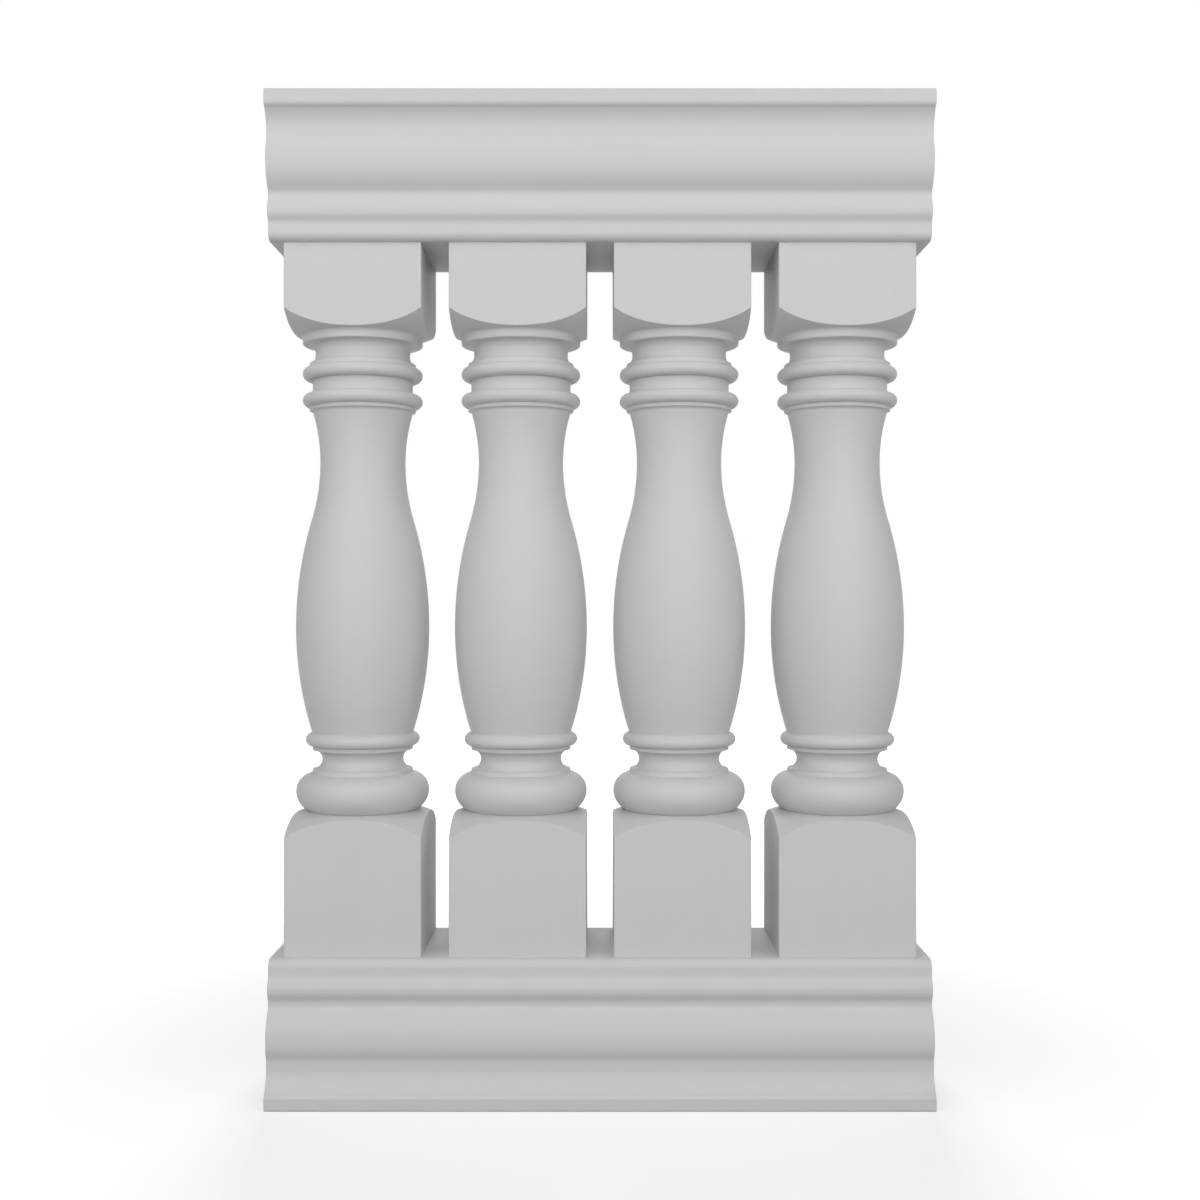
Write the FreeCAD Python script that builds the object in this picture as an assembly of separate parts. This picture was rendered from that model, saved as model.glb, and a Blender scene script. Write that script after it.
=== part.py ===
"""Deck railing section: a row of turned balusters between two moulded rails, pinned by steel pipes.

Millimetres, +Z up. X runs along the rails and Y through their depth. The origin is the middle of
the bottom rail's underside, which stands on the deck.
"""
import FreeCAD, Part
import math
import os

from FreeCAD import Vector

# Row of balusters: as many as the rails' length takes with at least this gap between the blocks
RAIL_LENGTH = 609.6
LEAST_BLOCK_GAP = 8.0

# Rail section, from its narrow face, where the balusters seat, to its wide face
RAIL_HEIGHT = 133.35
RAIL_DEPTH = 181.0
WIDE_ARRIS = 2.0
FASCIA_HEIGHT = 10.5
FASCIA_LIP_HEIGHT = 5.4
FASCIA_LIP_DEPTH = 3.7
COVE_SETBACK = 11.3
OGEE_SETBACK = 7.2
QUIRK_SETBACK = 19.4
BEAD_SETBACK = 15.0
SEAT_SETBACK = 19.5
SEAT_ARRIS = 8.0
BAND_HEIGHT = 13.9
BEAD_RISE = 13.3
BEAD_FALL = 14.2
OGEE_RISE = 31.0
OGEE_FLAT_HEIGHT = 3.5
COVE_FLAT_HEIGHT = 5.2

# Where each double curve of the rail turns over, as a share of the way from its hollow to its crest
COVE_LEVEL_SHARE = 0.41
BAND_BEAD_TURN = 0.45
BEAD_QUIRK_TURN = 0.45
QUIRK_OGEE_TURN = 0.19
OGEE_COVE_TURN = 0.4

# Baluster, squared at both ends
BALUSTER_HEIGHT = 660.4
BLOCK_SIDE = 127.0
BLOCK_EDGE_ROUND = 1.0
LOWER_SQUARE_HEIGHT = 110.2
UPPER_SQUARE_HEIGHT = 60.0
SHOULDER_RADIUS = 69.0
SHOULDER_CENTRE_RADIUS = 40.5
SHOULDER_OVERRUN = 2.0

# Base turnings, from the lower block up
BASE_ROLL_CREST = 63.5
BASE_ROLL_LOWER_RADIUS = 20.8
BASE_ROLL_UPPER_RADIUS = 17.4
BASE_ROLL_FOOT_INSET = 10.6
SCOTIA_FILLET_INSET = 15.65
SCOTIA_FILLET_HEIGHT = 3.7
SCOTIA_RADIUS = 9.1
BEAD_PROUD = 6.45
BEAD_RADIUS = 6.3

# Vase
VASE_FOOT_INSET = 6.1
BELLY_SWELL = 15.3
BELLY_RISE = 101.1
NECK_DEPTH = 22.9
NECK_DROP = 45.35
NECK_FLARE = 6.25
VASE_TURN = 0.35

# Crown turnings, from the vase up
CROWN_COVE_RADIUS = 3.8
RING_LOWER_FILLET = 3.4
RING_PROUD = 6.5
RING_RADIUS = 6.45
COLLAR_DEPTH = 2.9
COLLAR_HEIGHT = 12.5
RING_UPPER_FILLET = 3.6
HOLLOW_DEPTH = 5.55
HOLLOW_LOWER_RADIUS = 7.65
HOLLOW_THROAT_HEIGHT = 3.3
HOLLOW_UPPER_RADIUS = 7.0
CAP_DISC_ROUND = 1.8
CAP_DISC_HEIGHT = 3.0
CAP_CAVETTO_RADIUS = 4.0

# Steel pipe through each baluster, standing in a blind socket of either rail
PIPE_DIAMETER = 38.1
PIPE_WALL = 3.0
PIPE_REACH = 43.0
PIPE_CLEARANCE = 0.25
SOCKET_RELIEF = 2.0

# Points closer than this are one point
SAME_POINT = 1e-6

# Radii of the turnings
SCOTIA_FILLET = BASE_ROLL_CREST - SCOTIA_FILLET_INSET
BEAD_CREST = SCOTIA_FILLET + BEAD_PROUD
VASE_FOOT = BEAD_CREST - VASE_FOOT_INSET
BELLY = VASE_FOOT + BELLY_SWELL
NECK = BELLY - NECK_DEPTH
VASE_TOP = NECK + NECK_FLARE
RING_FILLET = VASE_TOP + CROWN_COVE_RADIUS
RING_CREST = RING_FILLET + RING_PROUD
BASE_ROLL_FOOT = BASE_ROLL_CREST - BASE_ROLL_FOOT_INSET
CAP_SHOULDER = RING_CREST + CAP_CAVETTO_RADIUS
BLOCK_CORNER = BLOCK_SIDE / math.sqrt(2) - BLOCK_EDGE_ROUND * (math.sqrt(2) - 1)

# Places along the row and up the section
BALUSTER_WIDTH = max(BLOCK_SIDE, 2 * BELLY, 2 * BASE_ROLL_CREST)
BALUSTER_COUNT = math.floor(RAIL_LENGTH / (BALUSTER_WIDTH + LEAST_BLOCK_GAP))
BALUSTER_SPACING = RAIL_LENGTH / BALUSTER_COUNT
LOWER_SEAT = RAIL_HEIGHT
UPPER_SEAT = LOWER_SEAT + BALUSTER_HEIGHT
SECTION_HEIGHT = UPPER_SEAT + RAIL_HEIGHT


class Outline:
    """A chain of lines and arcs in the XZ plane, drawn upwards; X is the distance from the axis."""

    def __init__(self, x, z):
        self.x = x
        self.z = z
        self.edges = []

    def line_to(self, x, z):
        if math.hypot(x - self.x, z - self.z) > SAME_POINT:
            self.edges.append(Part.LineSegment(Vector(self.x, 0, self.z), Vector(x, 0, z)).toShape())
        self.x = x
        self.z = z

    def rise(self, height):
        self.line_to(self.x, self.z + height)

    def arc_to(self, x, z, via_x, via_z):
        arc = Part.Arc(Vector(self.x, 0, self.z), Vector(via_x, 0, via_z), Vector(x, 0, z))
        self.edges.append(arc.toShape())
        self.x = x
        self.z = z

    def turn_to(self, x, z, centre_x, centre_z):
        """An arc about a given centre, the short way round."""
        radius = math.hypot(x - centre_x, z - centre_z)
        mid_x = (self.x + x) / 2 - centre_x
        mid_z = (self.z + z) / 2 - centre_z
        stretch = radius / math.hypot(mid_x, mid_z)
        self.arc_to(x, z, centre_x + mid_x * stretch, centre_z + mid_z * stretch)

    def roll(self, crest, lower_radius, upper_radius, end_x):
        """A round moulding that stands out to its crest and comes back to end_x."""
        lower_centre = crest - lower_radius
        upper_centre = crest - upper_radius
        crest_z = self.z + math.sqrt(lower_radius ** 2 - (self.x - lower_centre) ** 2)
        end_z = crest_z + math.sqrt(upper_radius ** 2 - (end_x - upper_centre) ** 2)
        self.turn_to(crest, crest_z, lower_centre, crest_z)
        self.turn_to(end_x, end_z, upper_centre, crest_z)

    def hollow(self, throat, radius):
        """The lower part of a hollow, which goes in to its throat and stops there, upright."""
        centre_x = throat + radius
        centre_z = self.z + math.sqrt(radius ** 2 - (self.x - centre_x) ** 2)
        self.turn_to(throat, centre_z, centre_x, centre_z)

    def cavetto(self, radius):
        """A quarter hollow that starts upright and runs out level."""
        self.turn_to(self.x + radius, self.z + radius, self.x + radius, self.z)

    def swell_to(self, x, z):
        """An arc that ends upright at the given point."""
        reach = x - self.x
        radius = (reach ** 2 + (z - self.z) ** 2) / (2 * reach)
        self.turn_to(x, z, x - radius, z)

    def flare_to(self, x, z):
        """An arc that starts upright at the present point."""
        reach = x - self.x
        radius = (reach ** 2 + (z - self.z) ** 2) / (2 * reach)
        self.turn_to(x, z, self.x + radius, self.z)

    def double_curve_to(self, x, z, turn):
        """Two arcs, upright at both ends, that turn over at a share of the way to the given point."""
        middle_x = self.x + (x - self.x) * turn
        middle_z = self.z + (z - self.z) * turn
        self.flare_to(middle_x, middle_z)
        self.swell_to(x, z)

    def shifted(self, height):
        moved = []
        for edge in self.edges:
            copy = edge.copy()
            copy.translate(Vector(0, 0, height))
            moved.append(copy)
        return moved


def turned_solid(edges):
    """Solid of revolution about Z, bounded by the outline, the axis and a flat at either end."""
    low = edges[0].firstVertex(True).Point
    high = edges[-1].lastVertex(True).Point
    axis_low = Vector(0, 0, low.z)
    axis_high = Vector(0, 0, high.z)
    closing = [
        Part.LineSegment(high, axis_high).toShape(),
        Part.LineSegment(axis_high, axis_low).toShape(),
        Part.LineSegment(axis_low, low).toShape(),
    ]
    face = Part.Face(Part.Wire(edges + closing))
    return face.revolve(Vector(0, 0, 0), Vector(0, 0, 1), 360)


def shoulder_height(radius):
    """Height of the rounded shoulder over the corner of its block, at a distance from the axis."""
    corner = math.sqrt(SHOULDER_RADIUS ** 2 - (BLOCK_CORNER - SHOULDER_CENTRE_RADIUS) ** 2)
    return math.sqrt(SHOULDER_RADIUS ** 2 - (radius - SHOULDER_CENTRE_RADIUS) ** 2) - corner


def end_block(square_height, top_radius):
    """Square block that stands on Z = 0, with its upper end turned to a rounded shoulder."""
    rim = BLOCK_CORNER + SHOULDER_OVERRUN
    rim_height = square_height + shoulder_height(rim)
    top_height = square_height + shoulder_height(top_radius)
    outline = Outline(rim, 0)
    outline.line_to(rim, rim_height)
    centre_height = rim_height - math.sqrt(SHOULDER_RADIUS ** 2 - (rim - SHOULDER_CENTRE_RADIUS) ** 2)
    outline.turn_to(top_radius, top_height, SHOULDER_CENTRE_RADIUS, centre_height)
    stock = Part.makeBox(BLOCK_SIDE, BLOCK_SIDE, top_height, Vector(-BLOCK_SIDE / 2, -BLOCK_SIDE / 2, 0))
    upright = [edge for edge in stock.Edges if edge.BoundBox.ZLength > top_height / 2]
    return stock.makeFillet(BLOCK_EDGE_ROUND, upright).common(turned_solid(outline.edges))


def base_turnings():
    """From the top of the lower block to the foot of the vase."""
    outline = Outline(BASE_ROLL_FOOT, 0)
    outline.roll(BASE_ROLL_CREST, BASE_ROLL_LOWER_RADIUS, BASE_ROLL_UPPER_RADIUS, SCOTIA_FILLET)
    outline.rise(SCOTIA_FILLET_HEIGHT)
    outline.hollow(SCOTIA_FILLET - SCOTIA_RADIUS, SCOTIA_RADIUS)
    outline.cavetto(SCOTIA_RADIUS)
    outline.rise(SCOTIA_FILLET_HEIGHT)
    outline.roll(BEAD_CREST, BEAD_RADIUS, BEAD_RADIUS, VASE_FOOT)
    return outline


def vase(height):
    """Belly and slender neck, over the given height."""
    outline = Outline(VASE_FOOT, 0)
    outline.swell_to(BELLY, BELLY_RISE)
    outline.double_curve_to(NECK, height - NECK_DROP, 1 - VASE_TURN)
    outline.flare_to(VASE_TOP, height)
    return outline


def crown_turnings():
    """From the top of the vase to the shoulder of the upper block."""
    outline = Outline(VASE_TOP, 0)
    outline.cavetto(CROWN_COVE_RADIUS)
    outline.rise(RING_LOWER_FILLET)
    outline.roll(RING_CREST, RING_RADIUS, RING_RADIUS, RING_FILLET)
    outline.line_to(RING_FILLET - COLLAR_DEPTH, outline.z)
    outline.rise(COLLAR_HEIGHT)
    outline.line_to(RING_FILLET, outline.z)
    outline.roll(RING_CREST, RING_RADIUS, RING_RADIUS, RING_FILLET)
    outline.rise(RING_UPPER_FILLET)
    outline.hollow(RING_FILLET - HOLLOW_DEPTH, HOLLOW_LOWER_RADIUS)
    outline.rise(HOLLOW_THROAT_HEIGHT)
    outline.cavetto(HOLLOW_UPPER_RADIUS)
    disc_edge = RING_CREST - CAP_DISC_ROUND
    outline.line_to(disc_edge, outline.z)
    outline.turn_to(RING_CREST, outline.z + CAP_DISC_ROUND, disc_edge, outline.z + CAP_DISC_ROUND)
    outline.rise(CAP_DISC_HEIGHT)
    outline.cavetto(CAP_CAVETTO_RADIUS)
    return outline


def baluster():
    """One baluster standing on Z = 0, bored from end to end for its pipe."""
    lower_block = end_block(LOWER_SQUARE_HEIGHT, BASE_ROLL_FOOT)
    upper_block = end_block(UPPER_SQUARE_HEIGHT, CAP_SHOULDER)
    upper_block.rotate(Vector(0, 0, 0), Vector(1, 0, 0), 180)
    upper_block.translate(Vector(0, 0, BALUSTER_HEIGHT))

    base = base_turnings()
    crown = crown_turnings()
    base_bottom = LOWER_SQUARE_HEIGHT + shoulder_height(BASE_ROLL_FOOT)
    vase_bottom = base_bottom + base.z
    crown_top = BALUSTER_HEIGHT - UPPER_SQUARE_HEIGHT - shoulder_height(CAP_SHOULDER)
    crown_bottom = crown_top - crown.z
    shaft = vase(crown_bottom - vase_bottom)
    turning = turned_solid(base.shifted(base_bottom) + shaft.shifted(vase_bottom) + crown.shifted(crown_bottom))

    solid = turning.fuse([lower_block, upper_block]).removeSplitter()
    bore = Part.makeCylinder(PIPE_DIAMETER / 2 + PIPE_CLEARANCE, BALUSTER_HEIGHT)
    return solid.cut(bore).Solids[0]


def steel_pipe():
    """One pipe, standing where the baluster stands on Z = 0 and reaching past both of its ends."""
    length = BALUSTER_HEIGHT + 2 * PIPE_REACH
    foot = Vector(0, 0, -PIPE_REACH)
    tube = Part.makeCylinder(PIPE_DIAMETER / 2, length, foot)
    return tube.cut(Part.makeCylinder(PIPE_DIAMETER / 2 - PIPE_WALL, length, foot))


def rail_outline():
    """Front half of the rail's section: X is the depth from the centre plane, Z = 0 the narrow face."""
    half_depth = RAIL_DEPTH / 2
    seat = half_depth - SEAT_SETBACK
    bead_level = BAND_HEIGHT + BEAD_RISE
    quirk_level = bead_level + BEAD_FALL
    ogee_level = quirk_level + OGEE_RISE
    ogee_top = ogee_level + OGEE_FLAT_HEIGHT
    fascia_level = RAIL_HEIGHT - FASCIA_HEIGHT
    crease_level = fascia_level - FASCIA_LIP_HEIGHT
    cove_level = ogee_top + (crease_level - ogee_top) * COVE_LEVEL_SHARE

    outline = Outline(0, 0)
    outline.line_to(seat - SEAT_ARRIS, 0)
    outline.turn_to(seat, SEAT_ARRIS, seat - SEAT_ARRIS, SEAT_ARRIS)
    outline.line_to(seat, BAND_HEIGHT)
    outline.double_curve_to(half_depth - BEAD_SETBACK, bead_level, BAND_BEAD_TURN)
    outline.double_curve_to(half_depth - QUIRK_SETBACK, quirk_level, 1 - BEAD_QUIRK_TURN)
    outline.double_curve_to(half_depth - OGEE_SETBACK, ogee_level, QUIRK_OGEE_TURN)
    outline.rise(OGEE_FLAT_HEIGHT)
    outline.double_curve_to(half_depth - COVE_SETBACK, cove_level, 1 - OGEE_COVE_TURN)
    outline.rise(COVE_FLAT_HEIGHT)
    outline.flare_to(half_depth - FASCIA_LIP_DEPTH, crease_level)
    outline.swell_to(half_depth, fascia_level)
    outline.line_to(half_depth, RAIL_HEIGHT - WIDE_ARRIS)
    outline.turn_to(half_depth - WIDE_ARRIS, RAIL_HEIGHT, half_depth - WIDE_ARRIS, RAIL_HEIGHT - WIDE_ARRIS)
    outline.line_to(0, RAIL_HEIGHT)
    return outline.edges


def baluster_places():
    first = -(BALUSTER_COUNT - 1) / 2 * BALUSTER_SPACING
    return [first + index * BALUSTER_SPACING for index in range(BALUSTER_COUNT)]


def rail(socket_depth):
    """Rail with its narrow face down at Z = 0 and a blind socket in that face for each pipe."""
    front = Part.Wire(rail_outline())
    back = front.mirror(Vector(0, 0, 0), Vector(1, 0, 0))
    section = Part.Face(Part.Wire(front.Edges + back.Edges))
    section.rotate(Vector(0, 0, 0), Vector(0, 0, 1), -90)
    section.translate(Vector(-RAIL_LENGTH / 2, 0, 0))
    solid = section.extrude(Vector(RAIL_LENGTH, 0, 0))
    for x in baluster_places():
        solid = solid.cut(Part.makeCylinder(PIPE_DIAMETER / 2 + PIPE_CLEARANCE, socket_depth, Vector(x, 0, 0)))
    return solid.Solids[0]


def top_rail():
    solid = rail(PIPE_REACH + SOCKET_RELIEF)
    solid.translate(Vector(0, 0, UPPER_SEAT))
    return solid


def bottom_rail():
    """The same moulding the other way up; its sockets end where the pipes stand."""
    solid = rail(PIPE_REACH)
    solid.rotate(Vector(0, 0, 0), Vector(1, 0, 0), 180)
    solid.translate(Vector(0, 0, LOWER_SEAT))
    return solid


def moved(shape, x, z):
    copy = shape.copy()
    copy.translate(Vector(x, 0, z))
    return copy


def main():
    os.makedirs("parts", exist_ok=True)
    pieces = {"bottom_rail": bottom_rail(), "top_rail": top_rail()}
    turned = baluster()
    pipe = steel_pipe()
    for number, x in enumerate(baluster_places(), start=1):
        pieces["baluster_%d" % number] = moved(turned, x, LOWER_SEAT)
        pieces["steel_pipe_%d" % number] = moved(pipe, x, LOWER_SEAT)
    for name, shape in pieces.items():
        shape.exportStep("parts/%s.step" % name)
        print(name, shape.isValid(), len(shape.Solids), "%.0f mm3" % shape.Volume)
    print("section %.1f long, %.1f deep, %.1f high" % (RAIL_LENGTH, RAIL_DEPTH, SECTION_HEIGHT))


main()
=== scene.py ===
"""Looks of a deck railing section: turned balusters on steel pipes between two moulded rails.

Metres, +Z up. X runs along the rails, and the front is at -Y.
"""
import math

import bmesh
import bpy
from bpy.props import FloatProperty, FloatVectorProperty, IntProperty, PointerProperty
from bpy.types import Operator, Panel, PropertyGroup
from mathutils import Matrix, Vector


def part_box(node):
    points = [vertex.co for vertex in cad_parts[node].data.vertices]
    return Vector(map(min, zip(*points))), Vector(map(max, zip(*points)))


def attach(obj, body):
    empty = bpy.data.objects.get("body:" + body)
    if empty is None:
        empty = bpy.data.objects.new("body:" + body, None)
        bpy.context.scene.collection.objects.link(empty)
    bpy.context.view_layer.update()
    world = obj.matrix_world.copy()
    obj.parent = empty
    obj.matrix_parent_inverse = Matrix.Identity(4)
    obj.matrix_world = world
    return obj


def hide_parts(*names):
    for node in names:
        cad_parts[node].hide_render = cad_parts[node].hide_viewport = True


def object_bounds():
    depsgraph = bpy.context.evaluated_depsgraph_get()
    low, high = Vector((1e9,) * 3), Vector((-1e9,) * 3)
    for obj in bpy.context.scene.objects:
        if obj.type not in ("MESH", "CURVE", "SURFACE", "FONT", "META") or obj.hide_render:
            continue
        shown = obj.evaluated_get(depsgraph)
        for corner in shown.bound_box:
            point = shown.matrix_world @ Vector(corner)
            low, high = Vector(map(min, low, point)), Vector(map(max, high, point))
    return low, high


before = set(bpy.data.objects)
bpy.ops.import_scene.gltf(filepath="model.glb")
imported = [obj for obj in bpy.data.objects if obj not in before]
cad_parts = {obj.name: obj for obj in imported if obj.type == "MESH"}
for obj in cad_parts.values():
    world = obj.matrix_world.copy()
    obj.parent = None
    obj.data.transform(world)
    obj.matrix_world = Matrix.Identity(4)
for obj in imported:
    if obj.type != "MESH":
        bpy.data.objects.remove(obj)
CAD_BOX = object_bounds()

bl_info = {
    "name": "Deck railing section",
    "version": (1, 0, 0),
    "blender": (4, 5, 0),
    "location": "3D View > Sidebar > Railing",
    "description": "Models and finishes a moulded deck railing section round its frame",
    "category": "Object",
}

BODY = "root"
TOP_RAIL = "top_rail"
BOTTOM_RAIL = "bottom_rail"
BALUSTERS = sorted(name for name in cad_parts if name.startswith("baluster_"))
PIPES = sorted(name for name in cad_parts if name.startswith("steel_pipe_"))

# Points closer than this are one point
WELD = 1e-6
# Corners and edges that turn by more than this are arrises
ARRIS_TURN = math.radians(24)
# Longest step of an arc, as a turn and as a length
ARC_TURN = math.radians(7.5)
ARC_LENGTH = 0.006
# Facets across a fine arris, across a rounded edge or fillet, and round a socket
ARRIS_FACETS = 2
ROUND_FACETS = 3
SOCKET_FACETS = 48
# Faces whose normal lies lower than this are level and look down
FACING_DOWN = -0.99

# Primer: scales of its clouds and grain, how far the grain is drawn out, and the share of the clouds
CLOUD_SCALE = 16.0
GRAIN_SCALE = 6.0
GRAIN_STRETCH = 14.0
CLOUD_SHARE = 0.6
# Primer: swing of its roughness, strength of its ripple, and its gloss
PRIMER_SWING = 0.12
PEEL_STRENGTH = 0.4
PRIMER_SPECULAR = 0.3
# Zinc: scale of its haze, how far its streaks are drawn out, and the share of the streaks
HAZE_SCALE = 30.0
STREAK_STRETCH = 0.1
STREAK_SHARE = 0.7
# Zinc: swing of its roughness, and how metallic it is
ZINC_SWING = 0.25
ZINC_METALLIC = 0.95

# Each lamp with the setting that holds its power, its width and height, and its place
LAMPS = (
    ("front lamp", "front_power", (2.4, 1.2), (0, -2.6, 0.9)),
    ("left lamp", "side_power", (1.8, 1.8), (-1.6, -1.3, 1.6)),
    ("right lamp", "side_power", (1.8, 1.8), (1.6, -1.3, 1.6)),
    ("upper lamp", "upper_power", (3.8, 3.8), (0, -4.0, 4.9)),
    ("back lamp", "back_power", (1.6, 1.6), (0, 3.2, 2.0)),
)
# Seen from the front, the sides of the blocks would glare with this one
LAMP_WITHOUT_GLARE = "back lamp"
SENSOR_WIDTH = 36.0
WHITE = (1.0, 1.0, 1.0, 1.0)


def extent(node):
    """Size of a frame node along X, Y and Z."""
    low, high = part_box(node)
    return high - low


BALUSTER_SIZE = extent(BALUSTERS[0])
RAIL_SIZE = extent(TOP_RAIL)
PIPE_SIZE = extent(PIPES[0])


def length(name, description, default):
    """A size in metres."""
    return FloatProperty(
        name=name, description=description, default=default, min=0.0, precision=5, unit="LENGTH"
    )


def share(name, description, default):
    """A number from 0 to 1."""
    return FloatProperty(
        name=name, description=description, default=default, min=0.0, max=1.0, subtype="FACTOR"
    )


def power(name, description, default):
    """The power of a lamp in watts."""
    return FloatProperty(name=name, description=description, default=default, min=0.0, unit="POWER")


def colour(name, description, default):
    """A colour, in linear light."""
    return FloatVectorProperty(
        name=name, description=description, default=(*default, 1.0), size=4, min=0.0, max=1.0,
        subtype="COLOR"
    )


class RailSizes(PropertyGroup):
    """The moulding of both rails, from the narrow face, where the balusters seat, to the wide face."""

    seat_setback: length("Seat setback", "How far the narrow face's edge stands behind the fascia", 0.0195)
    seat_arris: length("Seat arris", "Rounding of the narrow face's edge", 0.008)
    band_height: length("Band height", "Height of the flat band beside the narrow face", 0.0139)
    bead_setback: length("Bead setback", "How far the bead's crest stands behind the fascia", 0.015)
    bead_rise: length("Bead rise", "Height from the band to the bead's crest", 0.0133)
    bead_fall: length("Bead fall", "Height from the bead's crest to the quirk", 0.0142)
    band_bead_turn: share("Band to bead", "Where the curve up to the bead turns over", 0.45)
    bead_quirk_turn: share("Quirk to bead", "Where the curve from the quirk to the bead turns over", 0.45)
    quirk_setback: length("Quirk setback", "How far the quirk stands behind the fascia", 0.0194)
    ogee_setback: length("Ogee setback", "How far the ogee's crest stands behind the fascia", 0.0072)
    ogee_rise: length("Ogee rise", "Height from the quirk to the ogee's crest", 0.031)
    ogee_flat: length("Ogee flat", "Height of the flat on the ogee's crest", 0.0035)
    quirk_ogee_turn: share("Quirk to ogee", "Where the curve up to the ogee turns over", 0.19)
    cove_setback: length("Cove setback", "How far the cove's throat stands behind the fascia", 0.0113)
    cove_level: share("Cove level", "Place of the cove's throat between ogee and fascia", 0.41)
    cove_flat: length("Cove flat", "Height of the flat in the cove's throat", 0.0052)
    ogee_cove_turn: share("Cove to ogee", "Where the curve from the cove to the ogee turns over", 0.4)
    lip_depth: length("Lip depth", "How far the fascia's lip stands out over the cove", 0.0037)
    lip_height: length("Lip height", "Height of the rounded lip under the fascia", 0.0054)
    fascia_height: length("Fascia height", "Height of the fascia, its arris included", 0.0105)
    wide_arris: length("Wide arris", "Rounding of the wide face's edge", 0.002)
    end_arris: length("End arris", "Rounding of the sawn ends", 0.0006)
    socket_relief: length("Socket relief", "Room over a pipe's upper end", 0.002)
    pipe_room: length("Pipe room", "Room all round a pipe", 0.00025)


class BalusterSizes(PropertyGroup):
    """One turned baluster, from its lower block up."""

    segments: IntProperty(
        name="Segments", description="Facets round a baluster, a multiple of 8", default=128, min=32,
        max=256, step=8
    )
    block_side: length("Block side", "Side of the square end blocks", BALUSTER_SIZE.x)
    block_round: length("Block rounding", "Rounding of the blocks' upright edges", 0.001)
    block_arris: length("Block arris", "Rounding of the blocks' shoulder and end edges", 0.0002)
    turning_arris: length("Turning arris", "Rounding of the fillets' edges", 0.0004)
    lower_square: length("Lower square", "Height of the lower block's corners", 0.1102)
    upper_square: length("Upper square", "Height of the upper block's corners", 0.06)
    shoulder_radius: length("Shoulder radius", "Radius of the blocks' rounded shoulders", 0.069)
    shoulder_centre: length("Shoulder centre", "How far the shoulder's centre lies from the axis", 0.0405)
    base_roll_foot: length("Base roll's foot", "Radius where the base roll meets the lower block", 0.0529)
    base_roll: length("Base roll", "Radius from the axis to the base roll's crest", 0.0635)
    base_roll_lower: length("Base roll, lower curve", "Radius of its curve under the crest", 0.0208)
    base_roll_upper: length("Base roll, upper curve", "Radius of its curve over the crest", 0.0174)
    scotia_fillet: length("Scotia fillet", "Radius of the fillets on both sides of the scotia", 0.04785)
    scotia_fillet_height: length("Scotia fillet height", "Height of each of those fillets", 0.0037)
    scotia_radius: length("Scotia curve", "Radius of the scotia's curve", 0.0091)
    bead: length("Bead", "Radius from the axis to the bead's crest", 0.0543)
    bead_radius: length("Bead curve", "Radius of the bead's curve", 0.0063)
    vase_foot: length("Vase foot", "Radius of the vase at its foot", 0.0482)
    belly: length("Belly", "Radius of the vase at its widest", 0.0635)
    belly_rise: length("Belly rise", "Height from the foot to the belly", 0.1011)
    neck: length("Neck", "Radius of the vase at its narrowest", 0.0406)
    neck_drop: length("Neck drop", "How far the neck lies under the top of the vase", 0.04535)
    vase_turn: share("Vase turn", "Where the curve from the neck to the belly turns over", 0.35)
    vase_top: length("Vase top", "Radius of the vase at its top", 0.04685)
    crown_cove: length("Crown cove", "Radius of the small cove between the vase and the rings", 0.0038)
    ring_fillet: length("Ring fillet", "Radius of the fillets under and over the rings", 0.05065)
    ring_lower_fillet: length("Fillet under the rings", "Its height", 0.0034)
    ring_upper_fillet: length("Fillet over the rings", "Its height", 0.0036)
    ring: length("Ring", "Radius from the axis to the rings' crests", 0.05715)
    ring_radius: length("Ring curve", "Radius of the rings' curve", 0.00645)
    collar: length("Collar", "Radius of the collar between the rings", 0.04775)
    collar_height: length("Collar height", "Height of the collar between the rings", 0.0125)
    hollow: length("Hollow", "Radius of the hollow over the rings at its throat", 0.0451)
    hollow_lower: length("Hollow, lower curve", "Radius of the hollow's curve under its throat", 0.00765)
    hollow_throat: length("Hollow throat", "Height of the hollow's upright throat", 0.0033)
    hollow_upper: length("Hollow, upper curve", "Radius of the hollow's curve over its throat", 0.007)
    cap_disc_round: length("Cap disc rounding", "Rounding of the disc's lower edge", 0.0018)
    cap_disc_height: length("Cap disc height", "Height of the disc under the upper block", 0.003)
    cap_cavetto: length("Cap cavetto", "Radius of the small hollow under the upper block", 0.004)


class FinishColours(PropertyGroup):
    """Primer on the mouldings and zinc on the pipes."""

    primer_light: colour("Primer, light", "Primer where it lies thick", (0.634, 0.634, 0.634))
    primer_dark: colour("Primer, dark", "Primer where it lies thin", (0.603, 0.603, 0.603))
    primer_roughness: share("Primer roughness", "Roughness of the satin primer", 0.52)
    peel_size: length("Peel size", "Width of the ripples in the sprayed primer", 0.0016)
    peel_depth: length("Peel depth", "Depth of those ripples", 0.00002)
    zinc_light: colour("Zinc, light", "Bright streaks of the zinc", (0.40, 0.395, 0.38))
    zinc_dark: colour("Zinc, dark", "Dull streaks of the zinc", (0.27, 0.265, 0.25))
    zinc_roughness: share("Zinc roughness", "Roughness of the brightest streaks", 0.45)
    streak_size: length("Streak size", "Width of the streaks along a pipe", 0.008)


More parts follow.
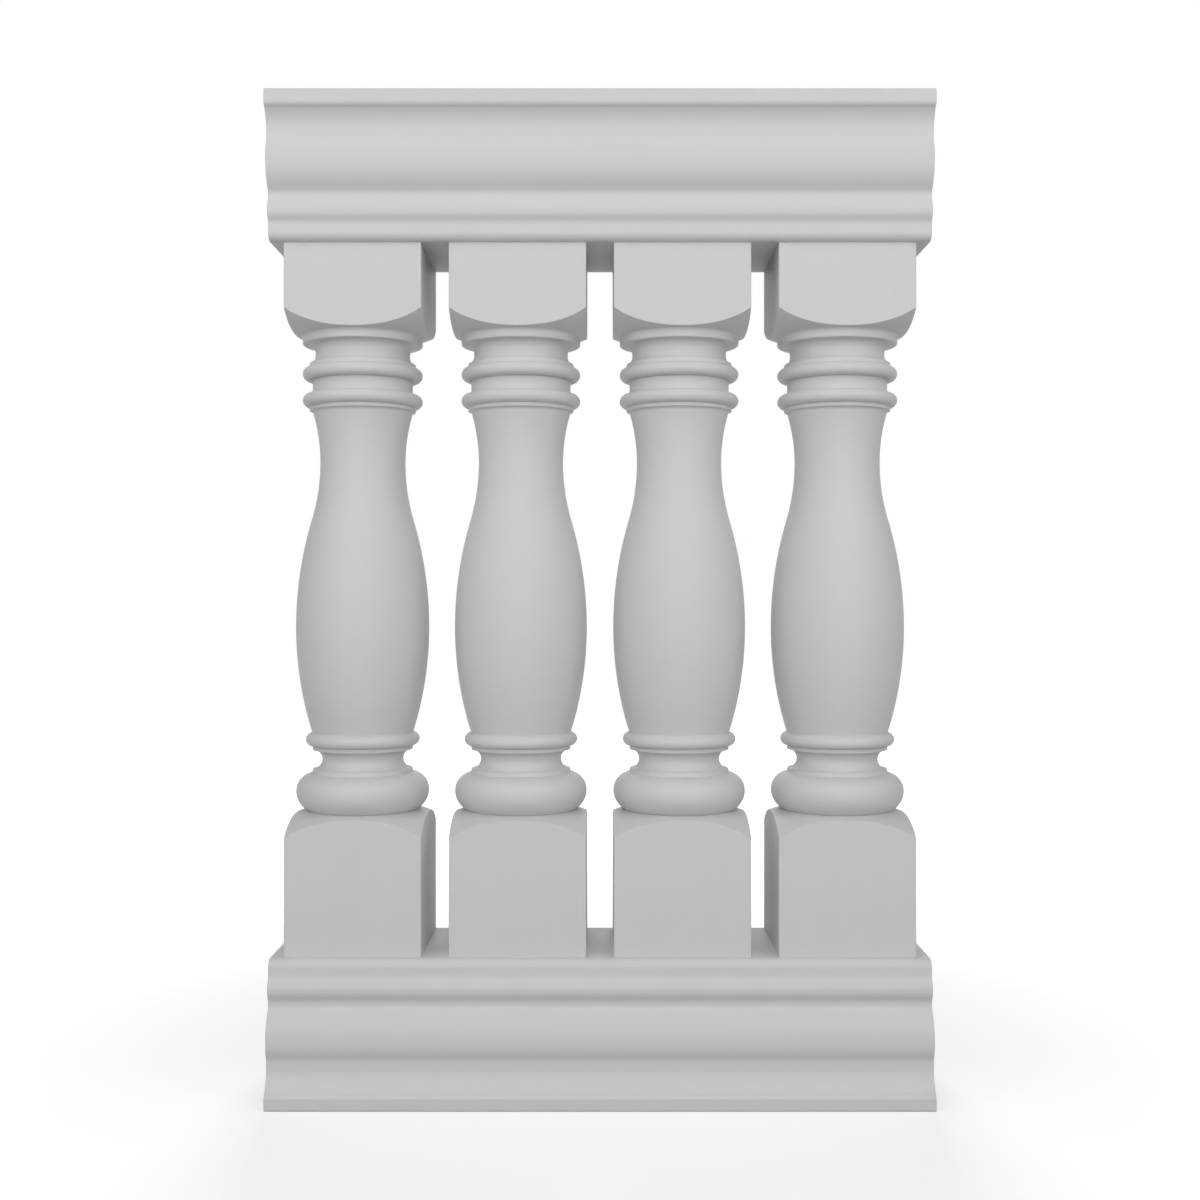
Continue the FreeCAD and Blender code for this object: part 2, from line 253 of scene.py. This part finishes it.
class StageSettings(PropertyGroup):
    """Camera, lights and floor."""

    camera_distance: length("Camera distance", "From the section's middle plane to the camera", 1.4465)
    camera_height: length("Camera height", "Height of the camera over the floor", 0.46355)
    focal_length: FloatProperty(
        name="Focal length", description="Lens of the camera on a 36 mm sensor", default=44.964, min=1.0,
        unit="CAMERA"
    )
    front_power: power("Front power", "Power of the wide lamp behind the camera", 27.5)
    side_power: power("Side power", "Power of each large lamp at the front corners", 17.5)
    upper_power: power("Upper power", "Power of the large lamp high over the camera", 39.0)
    back_power: power("Back power", "Power of the lamp that lights the back", 85.0)
    floor_colour: colour("Floor colour", "Pale floor, as the lamps light it", (0.55, 0.55, 0.55))
    floor_lift: colour("Floor lift", "Light added to the floor where it is looked at", (0.54, 0.54, 0.54))
    floor_glow: colour("Floor glow", "Light that the floor sends up", (0.295, 0.295, 0.295))
    floor_size: length("Floor size", "Half the side of the floor", 12.0)
    floor_fade: length("Floor fade", "Distance at which the floor has faded to white", 1.4)


class Socket:
    """One output in a node tree. Arithmetic on it adds Math nodes to the tree."""

    def __init__(self, tree, output=None):
        self.tree = tree
        self.output = output

    def add(self, kind, settings=None, sockets=None, output=0):
        """Adds a node, sets it up, fills or links its inputs, and returns one of its outputs."""
        node = self.tree.nodes.new(kind)
        for name, value in (settings or {}).items():
            setattr(node, name, value)
        for key, value in (sockets or {}).items():
            if isinstance(value, Socket):
                self.tree.links.new(value.output, node.inputs[key])
            else:
                node.inputs[key].default_value = value
        return Socket(self.tree, node.outputs[output] if node.outputs else None)

    def math(self, operation, first, second):
        return self.add("ShaderNodeMath", {"operation": operation}, {0: first, 1: second})

    def __add__(self, other):
        return self.math("ADD", self, other)

    def __radd__(self, other):
        return self.math("ADD", other, self)

    def __sub__(self, other):
        return self.math("SUBTRACT", self, other)

    def __rsub__(self, other):
        return self.math("SUBTRACT", other, self)

    def __mul__(self, other):
        return self.math("MULTIPLY", self, other)

    def __rmul__(self, other):
        return self.math("MULTIPLY", other, self)

    def blend(self, first, second):
        """A colour between two others, by this value."""
        return self.add("ShaderNodeMix", {"data_type": "RGBA"}, {0: self, 6: first, 7: second}, output=2)


class Outline:
    """A chain of edges in the XZ plane, drawn upwards; X is the distance from the axis."""

    def __init__(self, bm, x, z):
        self.bm = bm
        self.tip = bmesh.ops.create_vert(bm, co=(x, 0, z))["vert"][0]

    @property
    def x(self):
        return self.tip.co.x

    @property
    def z(self):
        return self.tip.co.z

    def line_to(self, x, z):
        self.tip = bmesh.ops.extrude_vert_indiv(self.bm, verts=[self.tip])["verts"][0]
        self.tip.co = (x, 0, z)

    def rise(self, height):
        self.line_to(self.x, self.z + height)

    def turn_to(self, x, z, centre_x, centre_z):
        """An arc about a given centre, the short way round."""
        start = math.atan2(self.z - centre_z, self.x - centre_x)
        end = math.atan2(z - centre_z, x - centre_x)
        sweep = math.remainder(end - start, math.tau)
        radius = math.hypot(x - centre_x, z - centre_z)
        steps = math.ceil(max(abs(sweep) / ARC_TURN, abs(sweep) * radius / ARC_LENGTH))
        arc = bmesh.ops.spin(
            self.bm, geom=[self.tip], cent=(centre_x, 0, centre_z), axis=(0, -1, 0), angle=sweep,
            steps=steps
        )
        self.tip = arc["geom_last"][0]

    def roll(self, crest, lower_radius, upper_radius, end_x):
        """A round moulding that stands out to its crest and comes back to end_x."""
        lower_centre = crest - lower_radius
        upper_centre = crest - upper_radius
        crest_z = self.z + math.sqrt(lower_radius ** 2 - (self.x - lower_centre) ** 2)
        end_z = crest_z + math.sqrt(upper_radius ** 2 - (end_x - upper_centre) ** 2)
        self.turn_to(crest, crest_z, lower_centre, crest_z)
        self.turn_to(end_x, end_z, upper_centre, crest_z)

    def hollow(self, throat, radius):
        """The lower part of a hollow, which goes in to its throat and stops there, upright."""
        centre_x = throat + radius
        centre_z = self.z + math.sqrt(radius ** 2 - (self.x - centre_x) ** 2)
        self.turn_to(throat, centre_z, centre_x, centre_z)

    def cavetto(self, radius):
        """A quarter hollow that starts upright and runs out level."""
        self.turn_to(self.x + radius, self.z + radius, self.x + radius, self.z)

    def swell_to(self, x, z):
        """An arc that ends upright at the given point."""
        reach = x - self.x
        radius = (reach ** 2 + (z - self.z) ** 2) / (2 * reach)
        self.turn_to(x, z, x - radius, z)

    def flare_to(self, x, z):
        """An arc that starts upright at the present point."""
        reach = x - self.x
        radius = (reach ** 2 + (z - self.z) ** 2) / (2 * reach)
        self.turn_to(x, z, self.x + radius, self.z)

    def double_curve_to(self, x, z, turn):
        """Two arcs, upright at both ends, that turn over at a share of the way to the given point."""
        self.flare_to(self.x + (x - self.x) * turn, self.z + (z - self.z) * turn)
        self.swell_to(x, z)


def soften(bm, items, width, segments, affect="EDGES"):
    """Rounds the given edges, or the given corners of an outline."""
    bmesh.ops.bevel(
        bm, geom=items, offset=width, offset_type="OFFSET", segments=segments, profile=0.5, affect=affect,
        material=-1
    )


def add_piece(name, bm, material, node):
    """Makes the mesh a piece of the section that stands for a frame node."""
    bmesh.ops.remove_doubles(bm, verts=bm.verts[:], dist=WELD)
    bmesh.ops.recalc_face_normals(bm, faces=bm.faces[:])
    for face in bm.faces:
        face.smooth = True
    for edge in bm.edges:
        edge.smooth = edge.calc_face_angle(0.0) < ARRIS_TURN * 2
    mesh = bpy.data.meshes.new(name)
    bm.to_mesh(mesh)
    bm.free()
    mesh.materials.append(material)
    piece = bpy.data.objects.new(name, mesh)
    bpy.context.scene.collection.objects.link(piece)
    shading = piece.modifiers.new("Even shading", "WEIGHTED_NORMAL")
    shading.keep_sharp = True
    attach(piece, BODY)
    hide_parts(node)
    return piece


def draw_rail(bm, sizes):
    """Front half of the rail's section: X is the depth from the middle plane, Z = 0 the narrow face."""
    half_depth = RAIL_SIZE.y / 2
    height = RAIL_SIZE.z
    seat = half_depth - sizes.seat_setback
    bead_level = sizes.band_height + sizes.bead_rise
    quirk_level = bead_level + sizes.bead_fall
    ogee_level = quirk_level + sizes.ogee_rise
    fascia_level = height - sizes.fascia_height
    crease_level = fascia_level - sizes.lip_height
    ogee_top = ogee_level + sizes.ogee_flat
    cove_level = ogee_top + (crease_level - ogee_top) * sizes.cove_level
    arris_start = half_depth - sizes.wide_arris

    outline = Outline(bm, 0, 0)
    outline.line_to(seat - sizes.seat_arris, 0)
    outline.turn_to(seat, sizes.seat_arris, seat - sizes.seat_arris, sizes.seat_arris)
    outline.line_to(seat, sizes.band_height)
    outline.double_curve_to(half_depth - sizes.bead_setback, bead_level, sizes.band_bead_turn)
    outline.double_curve_to(half_depth - sizes.quirk_setback, quirk_level, 1 - sizes.bead_quirk_turn)
    outline.double_curve_to(half_depth - sizes.ogee_setback, ogee_level, sizes.quirk_ogee_turn)
    outline.rise(sizes.ogee_flat)
    outline.double_curve_to(half_depth - sizes.cove_setback, cove_level, 1 - sizes.ogee_cove_turn)
    outline.rise(sizes.cove_flat)
    outline.flare_to(half_depth - sizes.lip_depth, crease_level)
    outline.swell_to(half_depth, fascia_level)
    outline.line_to(half_depth, height - sizes.wide_arris)
    outline.turn_to(arris_start, height, arris_start, height - sizes.wide_arris)
    outline.line_to(0, height)


def cut_sockets(bm, sizes, depth):
    """Opens the narrow face for the pipes: round blind sockets of the given depth."""
    narrow = [
        face for face in bm.faces
        if face.normal.z < FACING_DOWN and face.calc_center_median().z < WELD
    ]
    rims = [edge for face in narrow for edge in face.edges]
    bmesh.ops.delete(bm, geom=narrow, context="FACES_ONLY")
    sockets = []
    for node in BALUSTERS:
        low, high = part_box(node)
        place = Matrix.Translation(((low.x + high.x) / 2, 0, 0))
        ring = bmesh.ops.create_circle(
            bm, cap_ends=False, segments=SOCKET_FACETS, radius=PIPE_SIZE.x / 2 + sizes.pipe_room,
            matrix=place
        )["verts"]
        sockets.append(list({edge for vert in ring for edge in vert.link_edges}))
    mouths = [edge for socket in sockets for edge in socket]
    bmesh.ops.triangle_fill(bm, edges=rims + mouths, use_beauty=True, normal=(0, 0, -1))
    for socket in sockets:
        wall = bmesh.ops.extrude_edge_only(bm, edges=socket)["geom"]
        bottom = [item for item in wall if isinstance(item, bmesh.types.BMVert)]
        bmesh.ops.translate(bm, verts=bottom, vec=(0, 0, depth))
        floor_edges = [item for item in wall if isinstance(item, bmesh.types.BMEdge)]
        bmesh.ops.edgeloop_fill(bm, edges=floor_edges)


def rail_mesh(sizes, socket_depth):
    """A rail along X with its narrow face down at Z = 0."""
    bm = bmesh.new()
    draw_rail(bm, sizes)
    bmesh.ops.rotate(bm, verts=bm.verts[:], matrix=Matrix.Rotation(-math.pi / 2, 3, "Z"))
    bmesh.ops.mirror(bm, geom=bm.verts[:] + bm.edges[:], merge_dist=WELD, axis="Y")
    bmesh.ops.dissolve_verts(bm, verts=[vert for vert in bm.verts if abs(vert.co.y) < WELD])
    section = bmesh.ops.contextual_create(bm, geom=bm.edges[:])["faces"]
    far_end = bmesh.ops.extrude_face_region(bm, geom=section)["geom"]
    run = [item for item in far_end if isinstance(item, bmesh.types.BMVert)]
    bmesh.ops.translate(bm, verts=run, vec=(RAIL_SIZE.x, 0, 0))
    bmesh.ops.translate(bm, verts=bm.verts[:], vec=(-RAIL_SIZE.x / 2, 0, 0))
    bmesh.ops.recalc_face_normals(bm, faces=bm.faces[:])
    sawn = [edge for edge in bm.edges if abs(edge.verts[0].co.x - edge.verts[1].co.x) < WELD]
    soften(bm, sawn, sizes.end_arris, ARRIS_FACETS)
    bm.normal_update()
    cut_sockets(bm, sizes, socket_depth)
    return bm


class Blank:
    """The round blank of one end block, which stands on its end at a level and faces up or down."""

    def __init__(self, sizes, square, inner, end, facing):
        self.half = sizes.block_side / 2
        self.corner = self.half * math.sqrt(2)
        self.rounded_corner = self.corner - sizes.block_round * (math.sqrt(2) - 1)
        self.radius = sizes.shoulder_radius
        self.centre = sizes.shoulder_centre
        self.square = square
        self.inner = inner
        self.end = end
        self.facing = facing
        self.height = self.shoulder(inner)

    def shoulder(self, distance):
        """Height of the shoulder over the block's end, at a distance from the axis."""
        over_centre = math.sqrt(self.radius ** 2 - (distance - self.centre) ** 2)
        return over_centre - self.corner_rise() + self.square

    def corner_rise(self):
        return math.sqrt(self.radius ** 2 - (self.rounded_corner - self.centre) ** 2)

    def level(self, vert):
        """Height of a point over the block's end."""
        return (vert.co.z - self.end) * self.facing

    def holds(self, vert):
        return self.level(vert) < self.height + WELD and vert.co.xy.length > self.inner + WELD

    def square_off(self, vert):
        """Moves a point of the blank in to the block's flat side, and its shoulder to suit."""
        distance = vert.co.xy.length
        side = self.half * distance / max(abs(vert.co.x), abs(vert.co.y))
        reach = self.inner + (distance - self.inner) * (side - self.inner) / (self.corner - self.inner)
        lift = self.shoulder(reach) - self.shoulder(distance)
        vert.co.z += lift * self.facing * min(1.0, self.level(vert) / self.shoulder(self.corner))
        vert.co.xy *= reach / distance


def draw_upper_block(outline, blank, bore):
    """From the shoulder's inner edge to the bore in the block's upper end; Z = 0 may lie anywhere."""
    centre_z = outline.z + math.sqrt(blank.radius ** 2 - (blank.inner - blank.centre) ** 2)
    corner_z = centre_z - math.sqrt(blank.radius ** 2 - (blank.corner - blank.centre) ** 2)
    outline.turn_to(blank.corner, corner_z, blank.centre, centre_z)
    outline.rise(blank.shoulder(blank.corner))
    outline.line_to(bore, outline.z)


def draw_lower_block(outline, blank):
    """From the bore in the block's lower end to the shoulder's inner edge."""
    outline.line_to(blank.corner, 0)
    outline.rise(blank.shoulder(blank.corner))
    outline.turn_to(blank.inner, blank.height, blank.centre, blank.square - blank.corner_rise())


def draw_base(outline, sizes):
    """Base roll, scotia between two fillets, and bead."""
    outline.roll(sizes.base_roll, sizes.base_roll_lower, sizes.base_roll_upper, sizes.scotia_fillet)
    outline.rise(sizes.scotia_fillet_height)
    outline.hollow(sizes.scotia_fillet - sizes.scotia_radius, sizes.scotia_radius)
    outline.cavetto(sizes.scotia_radius)
    outline.rise(sizes.scotia_fillet_height)
    outline.roll(sizes.bead, sizes.bead_radius, sizes.bead_radius, sizes.vase_foot)


def draw_vase(outline, sizes, top):
    """Belly and slender neck, up to the given level."""
    outline.swell_to(sizes.belly, outline.z + sizes.belly_rise)
    outline.double_curve_to(sizes.neck, top - sizes.neck_drop, 1 - sizes.vase_turn)
    outline.flare_to(sizes.vase_top, top)


def draw_crown(outline, sizes):
    """Cove, two rings with a collar between them, hollow, disc and cavetto."""
    outline.cavetto(sizes.crown_cove)
    outline.rise(sizes.ring_lower_fillet)
    outline.roll(sizes.ring, sizes.ring_radius, sizes.ring_radius, sizes.ring_fillet)
    outline.line_to(sizes.collar, outline.z)
    outline.rise(sizes.collar_height)
    outline.line_to(sizes.ring_fillet, outline.z)
    outline.roll(sizes.ring, sizes.ring_radius, sizes.ring_radius, sizes.ring_fillet)
    outline.rise(sizes.ring_upper_fillet)
    outline.hollow(sizes.hollow, sizes.hollow_lower)
    outline.rise(sizes.hollow_throat)
    outline.cavetto(sizes.hollow_upper)
    disc_edge = sizes.ring - sizes.cap_disc_round
    disc_level = outline.z + sizes.cap_disc_round
    outline.line_to(disc_edge, outline.z)
    outline.turn_to(sizes.ring, disc_level, disc_edge, disc_level)
    outline.rise(sizes.cap_disc_height)
    outline.cavetto(sizes.cap_cavetto)


def round_fillets(bm, sizes, low, high):
    """Rounds the arrises of the turnings between two levels, while they are corners of the outline."""
    corners = [
        vert for vert in bm.verts
        if low + WELD < vert.co.z < high - WELD and vert.calc_edge_angle(0.0) > ARRIS_TURN
    ]
    soften(bm, corners, sizes.turning_arris, ROUND_FACETS, affect="VERTICES")


def square_blocks(bm, sizes, blanks):
    """Turns the round blanks at both ends into square blocks and rounds their edges."""
    half = sizes.block_side / 2
    for blank in blanks:
        for vert in [vert for vert in bm.verts if blank.holds(vert)]:
            blank.square_off(vert)
    upright = [
        edge for edge in bm.edges
        if all(min(abs(vert.co.x), abs(vert.co.y)) > half - WELD for vert in edge.verts)
    ]
    soften(bm, upright, sizes.block_round, ROUND_FACETS)
    bm.normal_update()
    near_side = half - sizes.block_round / 3
    across = [
        edge for edge in bm.edges
        if edge.calc_face_angle(0.0) > ARRIS_TURN
        and all(max(abs(vert.co.x), abs(vert.co.y)) > near_side for vert in edge.verts)
        and not is_upright(edge)
    ]
    soften(bm, across, sizes.block_arris, ARRIS_FACETS)


def is_upright(edge):
    run = edge.verts[1].co - edge.verts[0].co
    return abs(run.z) > run.xy.length


def baluster_mesh(sizes, bore):
    """A baluster that stands on Z = 0, bored from end to end for its pipe."""
    height = BALUSTER_SIZE.z
    lower = Blank(sizes, sizes.lower_square, sizes.base_roll_foot, 0, 1)
    upper = Blank(sizes, sizes.upper_square, sizes.ring + sizes.cap_cavetto, height, -1)
    bm = bmesh.new()
    crown = Outline(bm, sizes.vase_top, 0)
    draw_crown(crown, sizes)
    draw_upper_block(crown, upper, bore)
    crown_level = height - crown.z
    bmesh.ops.translate(bm, verts=bm.verts[:], vec=(0, 0, crown_level))
    shaft = Outline(bm, bore, 0)
    bmesh.ops.contextual_create(bm, geom=[crown.tip, shaft.tip])
    draw_lower_block(shaft, lower)
    draw_base(shaft, sizes)
    draw_vase(shaft, sizes, crown_level)
    bmesh.ops.remove_doubles(bm, verts=bm.verts[:], dist=WELD)
    round_fillets(bm, sizes, lower.height, height - upper.height)
    bmesh.ops.spin(
        bm, geom=bm.verts[:] + bm.edges[:], cent=(0, 0, 0), axis=(0, 0, 1), angle=math.tau,
        steps=sizes.segments, use_merge=True
    )
    square_blocks(bm, sizes, (lower, upper))
    return bm


def new_material(name):
    """An empty material and a socket to draw its nodes from."""
    material = bpy.data.materials.new(name)
    material.use_nodes = True
    material.node_tree.nodes.clear()
    return material, Socket(material.node_tree)


def noise(tree, place, scale, detail):
    """A cloudy pattern over the given coordinates."""
    return tree.add("ShaderNodeTexNoise", sockets={"Vector": place, "Scale": scale, "Detail": detail})


def primed_moulding(name, finish, stretch):
    """Sprayed satin primer: faint clouds and grain, and a fine ripple."""
    material, tree = new_material(name)
    place = tree.add("ShaderNodeTexCoord", output="Object")
    drawn = tree.add("ShaderNodeMapping", sockets={"Vector": place, "Scale": stretch})
    cloud = noise(tree, place, CLOUD_SCALE, 4.0)
    grain = noise(tree, drawn, GRAIN_SCALE, 3.0)
    peel = noise(tree, place, 1 / finish.peel_size, 1.0)
    tone = cloud * CLOUD_SHARE + grain * (1 - CLOUD_SHARE)
    ripple = tree.add("ShaderNodeBump", sockets={
        "Strength": PEEL_STRENGTH, "Distance": finish.peel_depth, "Height": peel
    })
    surface = tree.add("ShaderNodeBsdfPrincipled", sockets={
        "Base Color": tone.blend(finish.primer_dark, finish.primer_light),
        "Roughness": finish.primer_roughness + PRIMER_SWING * (cloud - 0.5),
        "Specular IOR Level": PRIMER_SPECULAR,
        "Normal": ripple,
    })
    tree.add("ShaderNodeOutputMaterial", sockets={"Surface": surface})
    return material


def galvanised_pipe(finish):
    """Dull zinc, drawn in streaks along the pipe."""
    material, tree = new_material("galvanised pipe")
    place = tree.add("ShaderNodeTexCoord", output="Object")
    drawn = tree.add("ShaderNodeMapping", sockets={"Vector": place, "Scale": (1.0, 1.0, STREAK_STRETCH)})
    streak = noise(tree, drawn, 1 / finish.streak_size, 3.0)
    haze = noise(tree, place, HAZE_SCALE, 4.0)
    tone = streak * STREAK_SHARE + haze * (1 - STREAK_SHARE)
    surface = tree.add("ShaderNodeBsdfPrincipled", sockets={
        "Base Color": tone.blend(finish.zinc_dark, finish.zinc_light),
        "Metallic": ZINC_METALLIC,
        "Roughness": finish.zinc_roughness + ZINC_SWING * (1 - tone),
    })
    tree.add("ShaderNodeOutputMaterial", sockets={"Surface": surface})
    return material


def looked_at(tree):
    """1 on rays that show a surface to the camera, straight, by reflection or through glass."""
    rays = [
        tree.add("ShaderNodeLightPath", output=name)
        for name in ("Is Camera Ray", "Is Glossy Ray", "Is Transmission Ray")
    ]
    return rays[0] + rays[1] + rays[2]


def white_floor(stage):
    """Matt pale floor that looks white where nothing shades it, and lights the section evenly."""
    material, tree = new_material("white floor")
    place = tree.add("ShaderNodeTexCoord", output="Object")
    reach = tree.add("ShaderNodeVectorMath", {"operation": "LENGTH"}, {0: place}, output="Value")
    fade = tree.add("ShaderNodeMapRange", {"interpolation_type": "SMOOTHSTEP"}, {
        "Value": reach, "From Min": RAIL_SIZE.x / 2, "From Max": stage.floor_fade
    })
    matt = tree.add("ShaderNodeBsdfDiffuse", sockets={"Color": stage.floor_colour})
    lift = tree.add("ShaderNodeEmission", sockets={"Color": fade.blend(stage.floor_lift, WHITE)})
    white = tree.add("ShaderNodeAddShader", sockets={0: matt, 1: lift})
    glow = tree.add("ShaderNodeEmission", sockets={"Color": stage.floor_glow})
    surface = tree.add("ShaderNodeMixShader", sockets={0: looked_at(tree), 1: glow, 2: white})
    tree.add("ShaderNodeOutputMaterial", sockets={"Surface": surface})
    return material


def white_room():
    """A room that looks white, but leaves the light to the lamps and the floor."""
    world = bpy.data.worlds.new("white room")
    world.use_nodes = True
    world.node_tree.nodes.clear()
    tree = Socket(world.node_tree)
    dark = tree.add("ShaderNodeBackground", sockets={"Strength": 0.0})
    white = tree.add("ShaderNodeBackground", sockets={"Color": WHITE, "Strength": 1.0})
    room = tree.add("ShaderNodeMixShader", sockets={0: looked_at(tree), 1: dark, 2: white})
    tree.add("ShaderNodeOutputWorld", sockets={"Surface": room})
    return world


def add_lamp(name, watts, size, place):
    """A soft rectangular lamp that shines at the middle of the section."""
    lamp = bpy.data.lights.new(name, "AREA")
    lamp.shape = "RECTANGLE"
    lamp.size, lamp.size_y = size
    lamp.energy = watts
    holder = bpy.data.objects.new(name, lamp)
    holder.location = place
    middle = (CAD_BOX[0] + CAD_BOX[1]) / 2
    holder.rotation_euler = (middle - holder.location).to_track_quat("-Z", "Y").to_euler()
    bpy.context.scene.collection.objects.link(holder)
    return holder


class RAILING_OT_add_rails(Operator):
    """Models the two rails and primes them"""

    bl_idname = "railing.add_rails"
    bl_label = "Add rails"

    def execute(self, context):
        sizes = context.scene.railing_rails
        grain = (1.0, GRAIN_STRETCH, GRAIN_STRETCH)
        primer = primed_moulding("primed rail", context.scene.railing_finish, grain)
        reach = (PIPE_SIZE.z - BALUSTER_SIZE.z) / 2
        top = rail_mesh(sizes, reach + sizes.socket_relief)
        bmesh.ops.translate(top, verts=top.verts[:], vec=(0, 0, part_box(TOP_RAIL)[0].z))
        add_piece("moulded_top_rail", top, primer, TOP_RAIL)
        bottom = rail_mesh(sizes, reach)
        bmesh.ops.rotate(bottom, verts=bottom.verts[:], matrix=Matrix.Rotation(math.pi, 3, "X"))
        bmesh.ops.translate(bottom, verts=bottom.verts[:], vec=(0, 0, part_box(BOTTOM_RAIL)[1].z))
        add_piece("moulded_bottom_rail", bottom, primer, BOTTOM_RAIL)
        return {"FINISHED"}


class RAILING_OT_add_balusters(Operator):
    """Turns the balusters and primes them"""

    bl_idname = "railing.add_balusters"
    bl_label = "Add balusters"

    def execute(self, context):
        sizes = context.scene.railing_balusters
        grain = (GRAIN_STRETCH, GRAIN_STRETCH, 1.0)
        primer = primed_moulding("primed baluster", context.scene.railing_finish, grain)
        bore = PIPE_SIZE.x / 2 + context.scene.railing_rails.pipe_room
        pattern = baluster_mesh(sizes, bore)
        for node in BALUSTERS:
            low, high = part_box(node)
            foot = ((low.x + high.x) / 2, (low.y + high.y) / 2, low.z)
            bm = pattern.copy()
            bmesh.ops.translate(bm, verts=bm.verts[:], vec=foot)
            add_piece("turned_" + node, bm, primer, node)
        pattern.free()
        return {"FINISHED"}


class RAILING_OT_finish_pipes(Operator):
    """Gives the steel pipes their zinc"""

    bl_idname = "railing.finish_pipes"
    bl_label = "Finish pipes"

    def execute(self, context):
        zinc = galvanised_pipe(context.scene.railing_finish)
        for node in PIPES:
            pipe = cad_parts[node]
            pipe.data.materials.clear()
            pipe.data.materials.append(zinc)
        return {"FINISHED"}


class RAILING_OT_set_stage(Operator):
    """Sets the floor, the white room, the lamps and the camera"""

    bl_idname = "railing.set_stage"
    bl_label = "Set stage"

    def execute(self, context):
        scene = context.scene
        stage = scene.railing_stage
        bm = bmesh.new()
        bmesh.ops.create_grid(bm, x_segments=1, y_segments=1, size=stage.floor_size)
        mesh = bpy.data.meshes.new("floor")
        bm.to_mesh(mesh)
        bm.free()
        mesh.materials.append(white_floor(stage))
        floor = bpy.data.objects.new("floor", mesh)
        scene.collection.objects.link(floor)
        scene.world = white_room()

        for name, setting, size, place in LAMPS:
            lamp = add_lamp(name, getattr(stage, setting), size, place)
            lamp.visible_glossy = name != LAMP_WITHOUT_GLARE
        lens = bpy.data.cameras.new("camera")
        lens.sensor_width = SENSOR_WIDTH
        lens.lens = stage.focal_length
        camera = bpy.data.objects.new("camera", lens)
        camera.location = (0, -stage.camera_distance, stage.camera_height)
        camera.rotation_euler = (math.pi / 2, 0, 0)
        scene.collection.objects.link(camera)
        scene.camera = camera
        scene.view_settings.view_transform = "Standard"
        return {"FINISHED"}


class RAILING_PT_section(Panel):
    """The section's pieces, with the sizes and colours of each"""

    bl_label = "Deck railing section"
    bl_space_type = "VIEW_3D"
    bl_region_type = "UI"
    bl_category = "Railing"

    def draw(self, context):
        for step, group in STEPS:
            box = self.layout.box()
            box.operator(step.bl_idname)
            settings = getattr(context.scene, group)
            for name in type(settings).__annotations__:
                box.prop(settings, name)


STEPS = (
    (RAILING_OT_add_rails, "railing_rails"),
    (RAILING_OT_add_balusters, "railing_balusters"),
    (RAILING_OT_finish_pipes, "railing_finish"),
    (RAILING_OT_set_stage, "railing_stage"),
)
GROUPS = {
    "railing_rails": RailSizes,
    "railing_balusters": BalusterSizes,
    "railing_finish": FinishColours,
    "railing_stage": StageSettings,
}
CLASSES = (*GROUPS.values(), *(step for step, _ in STEPS), RAILING_PT_section)


def register():
    for cls in CLASSES:
        bpy.utils.register_class(cls)
    for name, group in GROUPS.items():
        setattr(bpy.types.Scene, name, PointerProperty(type=group))


def unregister():
    for name in GROUPS:
        delattr(bpy.types.Scene, name)
    for cls in reversed(CLASSES):
        bpy.utils.unregister_class(cls)


def main():
    register()
    bpy.ops.railing.add_rails()
    bpy.ops.railing.add_balusters()
    bpy.ops.railing.finish_pipes()
    bpy.ops.railing.set_stage()


if __name__ == "__main__":
    main()
